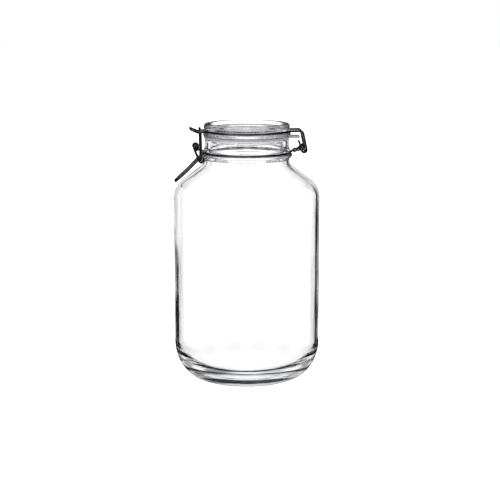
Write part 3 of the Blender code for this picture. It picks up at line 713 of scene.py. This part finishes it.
def drawn_line(name, points, shortest):
    """A line of edges through points, drawn by extruding a vertex; it stays in edit mode."""
    choose_nothing()
    bpy.ops.mesh.primitive_plane_add(size=MM, location=points[0])
    piece = bpy.context.object
    piece.name = name
    bpy.ops.object.mode_set(mode="EDIT")
    bpy.ops.mesh.select_mode(type="VERT")
    bpy.ops.mesh.select_all(action="SELECT")
    bpy.ops.mesh.merge(type="CENTER")
    place = points[0]
    for point in points[1:]:
        if (point - place).length > shortest:
            bpy.ops.mesh.extrude_region_move(TRANSFORM_OT_translate={"value": point - place})
            place = point
    return piece


def turned(name, outline, material):
    """Spins an outline of (radius, height) points about Z."""
    points = [Vector((r, 0, z)) for r, z in supported(outline)]
    piece = drawn_line(name, points, WELD)
    bpy.ops.mesh.select_all(action="SELECT")
    bpy.ops.mesh.spin(steps=TURN_STEPS, angle=2 * math.pi, use_auto_merge=True,
                      center=(0, 0, 0), axis=(0, 0, 1))
    bpy.ops.mesh.select_all(action="SELECT")
    bpy.ops.mesh.remove_doubles(threshold=WELD)
    bpy.ops.mesh.normals_make_consistent(inside=False)
    bpy.ops.object.mode_set(mode="OBJECT")
    bpy.ops.object.transform_apply(location=True, rotation=True, scale=True)
    bpy.ops.object.shade_smooth()
    piece.data.materials.append(material)
    return piece


def rounded_path(corners, bends):
    """A wire's centre line through its corners, each turned with its own bend radius."""
    points = [Vector(corners[0])]
    for i in range(1, len(corners) - 1):
        corner = Vector(corners[i])
        back = (Vector(corners[i - 1]) - corner).normalized()
        ahead = (Vector(corners[i + 1]) - corner).normalized()
        half_angle = back.angle(ahead) / 2
        turn = math.pi - 2 * half_angle
        middle = (back + ahead).normalized()
        centre = corner + middle * (bends[i - 1] / math.sin(half_angle))
        first = corner + back * (bends[i - 1] / math.tan(half_angle)) - centre
        axis = back.cross(ahead).normalized()
        count = max(3, math.ceil(turn / ARC_STEP))
        for k in range(count + 1):
            points.append(centre + Matrix.Rotation(-turn * k / count, 3, axis) @ first)
    points.append(Vector(corners[-1]))
    return points


def mirrored(points):
    """The same points on the other side of the plane of symmetry, in the opposite order."""
    return [Vector((p.x, -p.y, p.z)) for p in reversed(points)]


def eye(centre_x, centre_z, start, sweep, start_y, end_y):
    """Turns of wire about an axis along Y."""
    count = math.ceil(abs(sweep) / EYE_STEP)
    points = []
    for i in range(count + 1):
        angle = start - sweep * i / count
        y = start_y + (end_y - start_y) * i / count
        points.append(Vector((centre_x + EYE_RADIUS * math.cos(angle), y,
                              centre_z + EYE_RADIUS * math.sin(angle))))
    return points


def ring_half(radius, height, front_y, rear_y):
    """The near half of a wire ring, from its front end round the near side to its rear end."""
    start = math.pi + math.asin(front_y / radius)
    end = 2 * math.pi - math.asin(rear_y / radius)
    count = math.ceil((end - start) / RING_STEP)
    points = []
    for i in range(count + 1):
        angle = start + (end - start) * i / count
        points.append(Vector((radius * math.cos(angle), radius * math.sin(angle), height)))
    return points


def tangent_corner(radius, end_y, line_y):
    """Where the ring's tangent at one end meets the line that the wire turns into."""
    end_x = math.sqrt(radius ** 2 - end_y ** 2)
    return end_x + (end_y - line_y) * end_y / end_x


def nose(ring_start, root_y):
    """Half of the nose that the bail hooks over, and its bend into the ring."""
    root_x = -tangent_corner(LID_RING_RADIUS, root_y, NOSE_HALF_WIDTH)
    return rounded_path(
        [(NOSE_TIP_X, 0, NOSE_DIP + NOSE_LIFT),
         (NOSE_TIP_X, -NOSE_HALF_WIDTH, NOSE_DIP + NOSE_LIFT),
         (NOSE_DIP_X, -NOSE_HALF_WIDTH, NOSE_DIP),
         (root_x, -NOSE_HALF_WIDTH, LID_WIRE_HEIGHT),
         ring_start],
        [NOSE_CORNER, NOSE_BEND, RING_CORNER])


def hinge_hook(leg_y, leg_top):
    """The hook round the hinge pin, from where the leg meets it without a kink."""
    hinge = Vector((HINGE_X, leg_y, HINGE_Z))
    span = leg_top - hinge
    bearing = math.atan2(span.z, span.x)
    hook_start = bearing - math.acos(HOOK_RADIUS / span.length)
    count = math.ceil(HOOK_SWEEP / EYE_STEP)
    hook = []
    for i in range(count + 1):
        angle = hook_start - HOOK_SWEEP * i / count
        hook.append(hinge + HOOK_RADIUS * Vector((math.cos(angle), 0, math.sin(angle))))
    return hook


def lid_wire_points():
    """Nose, near half of the ring, rear leg and hook, then the same on the far side."""
    root_y = NOSE_HALF_WIDTH + RING_CORNER
    rear_y = HINGE_LEG_HALF_WIDTH + RING_CORNER
    ring = ring_half(LID_RING_RADIUS, LID_WIRE_HEIGHT, root_y, rear_y)
    leg_y = -HINGE_LEG_HALF_WIDTH
    leg_top = Vector((HINGE_LEG_TOP_X, leg_y, LID_WIRE_HEIGHT + HINGE_LEG_RISE))
    hook = hinge_hook(leg_y, leg_top)
    leg_root_x = tangent_corner(LID_RING_RADIUS, rear_y, HINGE_LEG_HALF_WIDTH)
    rear = rounded_path([ring[-1], (leg_root_x, leg_y, LID_WIRE_HEIGHT), leg_top, hook[0]],
                        [RING_CORNER, HINGE_LEG_BEND])
    near = nose(ring[0], root_y) + ring[1:-1] + rear + hook[1:]
    return mirrored(near)[:-1] + near


def neck_half():
    """Fulcrum pin, ear and near half of the neck ring, up to where the twist starts."""
    pin_end = EYE_OUTER_Y + WIRE_RADIUS
    root_y = EAR_HALF_WIDTH + RING_END_BEND
    rear_y = TWIST_RADIUS + RING_END_BEND
    ring = ring_half(NECK_RING_RADIUS, NECK_WIRE_HEIGHT, root_y, rear_y)
    ear_root_x = -tangent_corner(NECK_RING_RADIUS, root_y, EAR_HALF_WIDTH)
    front = rounded_path(
        [(FULCRUM_X, -pin_end, FULCRUM_Z),
         (FULCRUM_X, -EAR_HALF_WIDTH, FULCRUM_Z),
         (ear_root_x, -EAR_HALF_WIDTH, NECK_WIRE_HEIGHT),
         ring[0]],
        [PIN_BEND, PIN_BEND])
    stem_root_x = tangent_corner(NECK_RING_RADIUS, rear_y, TWIST_RADIUS)
    rear = rounded_path(
        [ring[-1],
         (stem_root_x, -TWIST_RADIUS, NECK_WIRE_HEIGHT),
         (TWIST_START_X, -TWIST_RADIUS, NECK_WIRE_HEIGHT + TWIST_START_RISE)],
        [STEM_BEND])
    return front + ring[1:-1] + rear


def neck_twist(side):
    """One turn of a neck wire round the other, eased where it starts and ends."""
    axis_start = Vector((TWIST_START_X, 0, NECK_WIRE_HEIGHT + TWIST_START_RISE))
    axis_end = Vector((TWIST_END_X, 0, HINGE_Z))
    rise = (axis_end - axis_start).normalized()
    upward = Vector((-rise.z, 0, rise.x))
    full_turn = 2 * math.pi
    twist = []
    for i in range(1, TWIST_STEPS + 1):
        share = i / TWIST_STEPS
        angle = full_turn * share - TWIST_EASE_SHARE * math.sin(full_turn * share)
        offset = Vector((0, side * math.cos(angle), 0)) - side * math.sin(angle) * upward
        twist.append(axis_start.lerp(axis_end, share) + TWIST_RADIUS * offset)
    return twist


def neck_wire_points(side):
    """A neck wire, on the far side for 1 and on the near side for -1, which ends as a hinge pin."""
    front = [Vector((p.x, -side * p.y, p.z)) for p in neck_half()]
    twist = neck_twist(side)
    pin = rounded_path(
        [twist[-1],
         (HINGE_X, side * TWIST_RADIUS, HINGE_Z),
         (HINGE_X, side * HINGE_PIN_HALF_LENGTH, HINGE_Z),
         (HINGE_X - HINGE_END_LEAN, side * HINGE_PIN_HALF_LENGTH, HINGE_Z + HINGE_END_HEIGHT)],
        [HINGE_PIN_BEND, HINGE_PIN_BEND])
    return front + twist[:-1] + pin


def bail_points():
    """Near pin, near leg and half of the crossbar, then the same on the far side."""
    pin_end = EYE_INNER_Y - WIRE_RADIUS - PIN_OVERHANG
    near = rounded_path(
        [(PIVOT_X, -pin_end, PIVOT_Z),
         (PIVOT_X, -BAIL_HALF_WIDTH, PIVOT_Z),
         (CROSSBAR_X, -BAIL_HALF_WIDTH, CROSSBAR_Z),
         (CROSSBAR_X, 0, CROSSBAR_Z)],
        [PIN_BEND, BAIL_CORNER])
    return near + mirrored(near)[1:]


def over_shoulder(along, clear):
    """A place on the latch side, from the top of the shoulder's cone down its slope."""
    slope_cos = math.cos(SHOULDER_SLOPE)
    slope_sin = math.sin(SHOULDER_SLOPE)
    r = CONE_HIGH_R + along * slope_cos + clear * slope_sin
    z = CONE_HIGH_Z - along * slope_sin + clear * slope_cos
    return Vector((-r, 0, z))


def lever_points():
    """Half of the handle, the bail's eye, the link and the fulcrum's eye, on both sides."""
    fulcrum = Vector((FULCRUM_X, 0, FULCRUM_Z))
    pivot = Vector((PIVOT_X, 0, PIVOT_Z))
    bend = over_shoulder(HANDLE_BEND_ALONG, HANDLE_BEND_CLEAR)
    tip = over_shoulder(HANDLE_TIP_ALONG, HANDLE_TIP_CLEAR)
    link = fulcrum - pivot
    left_side = math.atan2(link.z, link.x) + math.pi / 2
    reach = bend - pivot
    handle_side = math.atan2(reach.z, reach.x) - math.acos(EYE_RADIUS / reach.length)
    pivot_sweep = (handle_side - left_side) % (2 * math.pi)
    touch = pivot + EYE_RADIUS * Vector((math.cos(handle_side), 0, math.sin(handle_side)))
    handle = rounded_path(
        [tip,
         (tip.x, -HANDLE_TIP_HALF_WIDTH, tip.z),
         (bend.x, -EYE_INNER_Y, bend.z),
         (touch.x, -EYE_INNER_Y, touch.z)],
        [HANDLE_TIP_ROUND, HANDLE_BEND])
    pivot_eye = eye(PIVOT_X, PIVOT_Z, handle_side, pivot_sweep, -EYE_INNER_Y, -EYE_OUTER_Y)
    fulcrum_eye = eye(FULCRUM_X, FULCRUM_Z, left_side, EYE_SWEEP, -EYE_OUTER_Y, -EYE_INNER_Y)
    near = handle + pivot_eye[1:] + fulcrum_eye
    return mirrored(near)[:-1] + near


def bent_wire(name, points, material):
    """A round wire bent along a line of points, with its ends cut square."""
    drawn_line(name, points, SHORTEST_STEP)
    bpy.ops.object.mode_set(mode="OBJECT")
    bpy.ops.object.transform_apply(location=True, rotation=True, scale=True)
    bpy.ops.object.convert(target="CURVE")
    line = bpy.context.object.data
    line.bevel_depth = WIRE_RADIUS
    line.bevel_resolution = WIRE_SIDES_SETTING
    line.use_fill_caps = True
    bpy.ops.object.convert(target="MESH")
    bpy.ops.object.mode_set(mode="EDIT")
    bpy.ops.mesh.select_all(action="SELECT")
    bpy.ops.mesh.remove_doubles(threshold=WELD)
    bpy.ops.mesh.normals_make_consistent(inside=False)
    bpy.ops.object.mode_set(mode="OBJECT")
    bpy.ops.object.shade_smooth_by_angle(angle=WIRE_SMOOTH_ANGLE)
    piece = bpy.context.object
    piece.data.materials.clear()
    piece.data.materials.append(material)
    return piece


def knurl_base(piece):
    """Sinks every other step of the ring that the jar stands on, which leaves small ribs."""
    choose_only(piece)
    bpy.ops.object.mode_set(mode="EDIT")
    bpy.ops.mesh.select_all(action="DESELECT")
    bpy.ops.object.mode_set(mode="OBJECT")
    outer = BASE_RING_RADIUS + KNURL_OUTER_MARGIN
    inner = BASE_RING_RADIUS - BASE_RING_FLAT - KNURL_INNER_MARGIN
    for vertex in piece.data.vertices:
        x, y, z = vertex.co
        step = round(math.atan2(y, x) / (2 * math.pi) * TURN_STEPS)
        vertex.select = (step % 2 == 0 and z < KNURL_HEIGHT and inner < math.hypot(x, y) < outer)
    bpy.ops.object.mode_set(mode="EDIT")
    bpy.ops.transform.translate(value=(0, 0, KNURL_DEPTH))
    bpy.ops.object.mode_set(mode="OBJECT")


def pull_tab():
    """The tab of the seal: a flat strip with round corners at its free end and eased edges."""
    choose_nothing()
    start = SEAL_RADIUS - TAB_OVERLAP
    length = TAB_END - start
    thickness = SEAL_HIGH - SEAL_LOW
    bpy.ops.mesh.primitive_cube_add(size=1, location=(start + length / 2, 0, SEAL_LOW + thickness / 2),
                                    scale=(length, TAB_WIDTH, thickness))
    tab = bpy.context.object
    bpy.ops.object.transform_apply(location=True, rotation=True, scale=True)
    bpy.ops.object.mode_set(mode="EDIT")
    bpy.ops.mesh.select_mode(type="EDGE")
    bpy.ops.mesh.select_all(action="DESELECT")
    bpy.ops.object.mode_set(mode="OBJECT")
    for edge in tab.data.edges:
        ends = [tab.data.vertices[i].co for i in edge.vertices]
        upright = abs(ends[0].z - ends[1].z) > thickness / 2
        edge.select = upright and min(e.x for e in ends) > start + length / 2
    bpy.ops.object.mode_set(mode="EDIT")
    bpy.ops.mesh.bevel(offset=TAB_CORNER, segments=CORNER_SEGMENTS, profile=0.5, affect="EDGES")
    bpy.ops.object.mode_set(mode="OBJECT")
    ease = tab.modifiers.new("ease", "BEVEL")
    ease.width = TAB_EDGE_EASE
    ease.segments = EASE_SEGMENTS
    ease.limit_method = "ANGLE"
    bpy.ops.object.modifier_apply(modifier=ease.name)
    return tab


def seal_ring(material):
    """The rubber ring, with its pull tab joined on."""
    ring = turned("rubber_seal", seal_outline(), material)
    tab = pull_tab()
    choose_only(ring)
    join = ring.modifiers.new("tab", "BOOLEAN")
    join.operation = "UNION"
    join.solver = "EXACT"
    join.object = tab
    bpy.ops.object.modifier_apply(modifier=join.name)
    bpy.data.objects.remove(tab, do_unlink=True)
    bpy.ops.object.shade_smooth_by_angle(angle=SEAL_SMOOTH_ANGLE)
    return ring


def put(piece, body, nodes):
    """Makes a piece ride on a body in the place of CAD nodes, and hides those nodes."""
    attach(piece, body)
    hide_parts(*nodes)


def make_pieces():
    """All eight pieces, in their materials, on the bodies that carry them."""
    jar_glass = blown_glass()
    lid_material = pressed_glass()
    rubber = natural_rubber()
    steel = drawn_steel()
    jar = turned("glass_jar", jar_inside() + jar_finish() + jar_outside(), jar_glass)
    knurl_base(jar)
    jar.data.shade_smooth()
    put(jar, "jar", ["jar_body"])
    put(turned("glass_lid", lid_top() + lid_side() + lid_under(), lid_material), "lid",
        ["lid_glass"])
    put(seal_ring(rubber), "lid", ["seal_ring"])
    put(bent_wire("lid_ring_wire", lid_wire_points(), steel), "lid", ["lid_wire"])
    put(bent_wire("neck_ring_wire_right", neck_wire_points(-1), steel), "jar",
        ["neck_wire_right"])
    put(bent_wire("neck_ring_wire_left", neck_wire_points(1), steel), "jar",
        ["neck_wire_left"])
    put(bent_wire("lever_wire", lever_points(), steel), "lever", ["latch_lever"])
    put(bent_wire("bail_wire", bail_points(), steel), "bail", ["latch_bail"])


def floor_material():
    """Pressed white laminate, matt: plain, with a faint unevenness in its sheen."""
    material, tree, shader = new_material("white_laminate_matt")
    place = node(tree, "ShaderNodeTexCoord")
    cloud = node(tree, "ShaderNodeTexNoise", {"Scale": per_metre(LAMINATE_CLOUD), "Detail": 2.0},
                 {"Vector": place.outputs["Object"]})
    matt = node(tree, "ShaderNodeMapRange", {"To Min": 0.7, "To Max": 0.8},
                {"Value": cloud.outputs["Fac"]})
    shader.inputs["Base Color"].default_value = linear("#F6F6F6")
    shader.inputs["Specular IOR Level"].default_value = 0.2
    shader.inputs["Emission Color"].default_value = linear("#FFFFFF")
    shader.inputs["Emission Strength"].default_value = STAGE_GLOW
    tree.links.new(matt.outputs["Result"], shader.inputs["Roughness"])
    return material


def sky_values(tree):
    """What the sky's layers run over, by name: the height of a direction and its bearings."""
    place = node(tree, "ShaderNodeTexCoord")
    axes = node(tree, "ShaderNodeSeparateXYZ", None, {"Vector": place.outputs["Generated"]})
    azimuth = node(tree, "ShaderNodeMath", {"operation": "ARCTAN2"},
                   {0: axes.outputs["X"], 1: axes.outputs["Y"]})
    values = {"height": axes.outputs["Z"], "azimuth": azimuth.outputs["Value"]}
    for name, source, operation, number in SKY_VALUES:
        made = node(tree, "ShaderNodeMath", {"operation": operation, 1: number},
                    {0: values[source]})
        values[name] = made.outputs["Value"]
    return values


def sky_layers(tree, values):
    """The ramps and bands of the studio's light, and what they come together to, by name."""
    layers = {}
    for name, source, easing, start, end, light_at_start, light_at_end in SKY_RAMPS:
        ramp = node(tree, "ShaderNodeMapRange",
                    {"interpolation_type": easing, "From Min": start, "From Max": end,
                     "To Min": light_at_start, "To Max": light_at_end}, {"Value": values[source]})
        layers[name] = ramp.outputs["Result"]
    for name, source, low, high, ease, inside, outside in SKY_BANDS:
        layers[name] = band(tree, values[source], low, high, ease, inside, outside)
    for name, first, steps in SKY_STACKS:
        layers[name] = layers[first]
        for operation, layer in steps:
            both = node(tree, "ShaderNodeMath", {"operation": operation},
                        {0: layers[name], 1: layers[layer]})
            layers[name] = both.outputs["Value"]
    return layers


def studio_sky():
    """A bright-field studio, as glass is photographed: white panels behind, dark gaps between.

    The picture's own background stays plain white. The glass is seen against the panels, its
    edges show the gaps, and the steel shows the dark room with softboxes in front of it."""
    world = bpy.data.worlds.new("studio")
    bpy.context.scene.world = world
    world.use_nodes = True
    tree = world.node_tree
    background = tree.nodes["Background"]
    background.inputs["Color"].default_value = linear("#FFFFFF")
    layers = sky_layers(tree, sky_values(tree))
    on_steel = node(tree, "ShaderNodeMath", {"operation": "ADD", 1: ROOM_GLOW},
                    {0: layers["on_steel"]})
    ray = node(tree, "ShaderNodeLightPath")
    mirrored_light = node(tree, "ShaderNodeMix", {"data_type": "FLOAT", NUMBER_A: ROOM_LIGHT},
                          {0: ray.outputs["Is Glossy Ray"], NUMBER_B: on_steel.outputs["Value"]})
    bent_light = node(tree, "ShaderNodeMix", {"data_type": "FLOAT"},
                      {0: ray.outputs["Is Transmission Ray"],
                       NUMBER_A: mirrored_light.outputs[MIXED_NUMBER],
                       NUMBER_B: layers["through_glass"]})
    seen = node(tree, "ShaderNodeMix", {"data_type": "FLOAT", NUMBER_B: BACKDROP_LIGHT},
                {0: ray.outputs["Is Camera Ray"], NUMBER_A: bent_light.outputs[MIXED_NUMBER]})
    tree.links.new(seen.outputs[MIXED_NUMBER], background.inputs["Strength"])


def card_material():
    """Matt black card with painted light: its emission stands in for the lit room falling on it, a
    little all over and more on its left.
    """
    material, tree, shader = new_material("black_card_painted_light")
    shader.inputs["Base Color"].default_value = linear("#000000")
    shader.inputs["Specular IOR Level"].default_value = 0.0
    shader.inputs["Emission Color"].default_value = linear("#FFFFFF")
    place = node(tree, "ShaderNodeTexCoord")
    axes = node(tree, "ShaderNodeSeparateXYZ", None, {"Vector": place.outputs["Object"]})
    # Painted light: the card's emission grows towards its left, where the lit room's light would fall
    # on it.
    glow = node(tree, "ShaderNodeMapRange",
                {"From Min": CARD_GLOW_START, "From Max": CARD_GLOW_END,
                 "To Min": CARD_LEFT_GLOW, "To Max": CARD_GLOW}, {"Value": axes.outputs["X"]})
    tree.links.new(glow.outputs["Result"], shader.inputs["Emission Strength"])
    return material


def dark_card():
    """A dark ring of card round the jar, from the lid's height up, for dark lines in the glass.

    Only light that the glass bends meets it: the camera and the steel don't see it."""
    choose_nothing()
    bpy.ops.mesh.primitive_circle_add(vertices=CARD_SIDES, radius=CARD_RADIUS,
                                      location=(0, 0, CARD_BOTTOM))
    card = bpy.context.object
    card.name = "dark_card"
    bpy.ops.object.mode_set(mode="EDIT")
    bpy.ops.mesh.extrude_region_move(
        TRANSFORM_OT_translate={"value": (0, 0, CARD_TOP - CARD_BOTTOM)})
    bpy.ops.object.mode_set(mode="OBJECT")
    bpy.ops.object.transform_apply(location=True, rotation=True, scale=True)
    card.data.materials.append(card_material())
    card.visible_camera = False
    card.visible_diffuse = False
    card.visible_glossy = False
    card.visible_shadow = False


def studio_floor():
    """A wide white floor that the jar stands on, unseen in the glass and in the steel."""
    choose_nothing()
    bpy.ops.mesh.primitive_circle_add(vertices=CARD_SIDES, radius=STAGE_RADIUS, fill_type="NGON",
                                      location=(0, 0, -STAGE_DROP))
    floor = bpy.context.object
    floor.name = "studio_floor"
    floor.data.materials.append(floor_material())
    floor.visible_transmission = False
    floor.visible_glossy = False


def key_lamp():
    """A weak panel of light from the front left, for soft glints on the wires."""
    key = bpy.data.lights.new("key_panel", "AREA")
    key.shape = "RECTANGLE"
    key.size = LAMP_WIDTH
    key.size_y = LAMP_HEIGHT
    key.energy = LAMP_POWER
    lamp = bpy.data.objects.new("key_panel", key)
    lamp.location = LAMP_PLACE
    lamp.rotation_euler = (Vector(LAMP_AIM) - lamp.location).to_track_quat("-Z", "Y").to_euler()
    bpy.context.scene.collection.objects.link(lamp)


def place_camera():
    """The camera, in the place and with the lens that the outline was fitted with."""
    data = bpy.data.cameras.new("camera")
    data.lens = CAMERA_LENS
    data.sensor_width = CAMERA_SENSOR
    data.shift_x = CAMERA_SHIFT_X
    data.clip_start = CAMERA_NEAR
    data.clip_end = CAMERA_FAR
    camera = bpy.data.objects.new("camera", data)
    back = Vector((math.sin(CAMERA_AZIMUTH), -math.cos(CAMERA_AZIMUTH), 0))
    camera.location = back * CAMERA_DISTANCE + Vector((0, 0, CAMERA_HEIGHT))
    ahead = -back * math.cos(CAMERA_PITCH) - Vector((0, 0, math.sin(CAMERA_PITCH)))
    camera.rotation_euler = ahead.to_track_quat("-Z", "Y").to_euler()
    bpy.context.scene.collection.objects.link(camera)
    bpy.context.scene.camera = camera


place_camera()
make_pieces()
dark_card()
studio_floor()
studio_sky()
key_lamp()

scene = bpy.context.scene
scene.view_settings.view_transform = "Standard"
scene.cycles.max_bounces = LIGHT_BOUNCES
scene.cycles.transmission_bounces = LIGHT_BOUNCES
scene.cycles.glossy_bounces = GLOSSY_BOUNCES
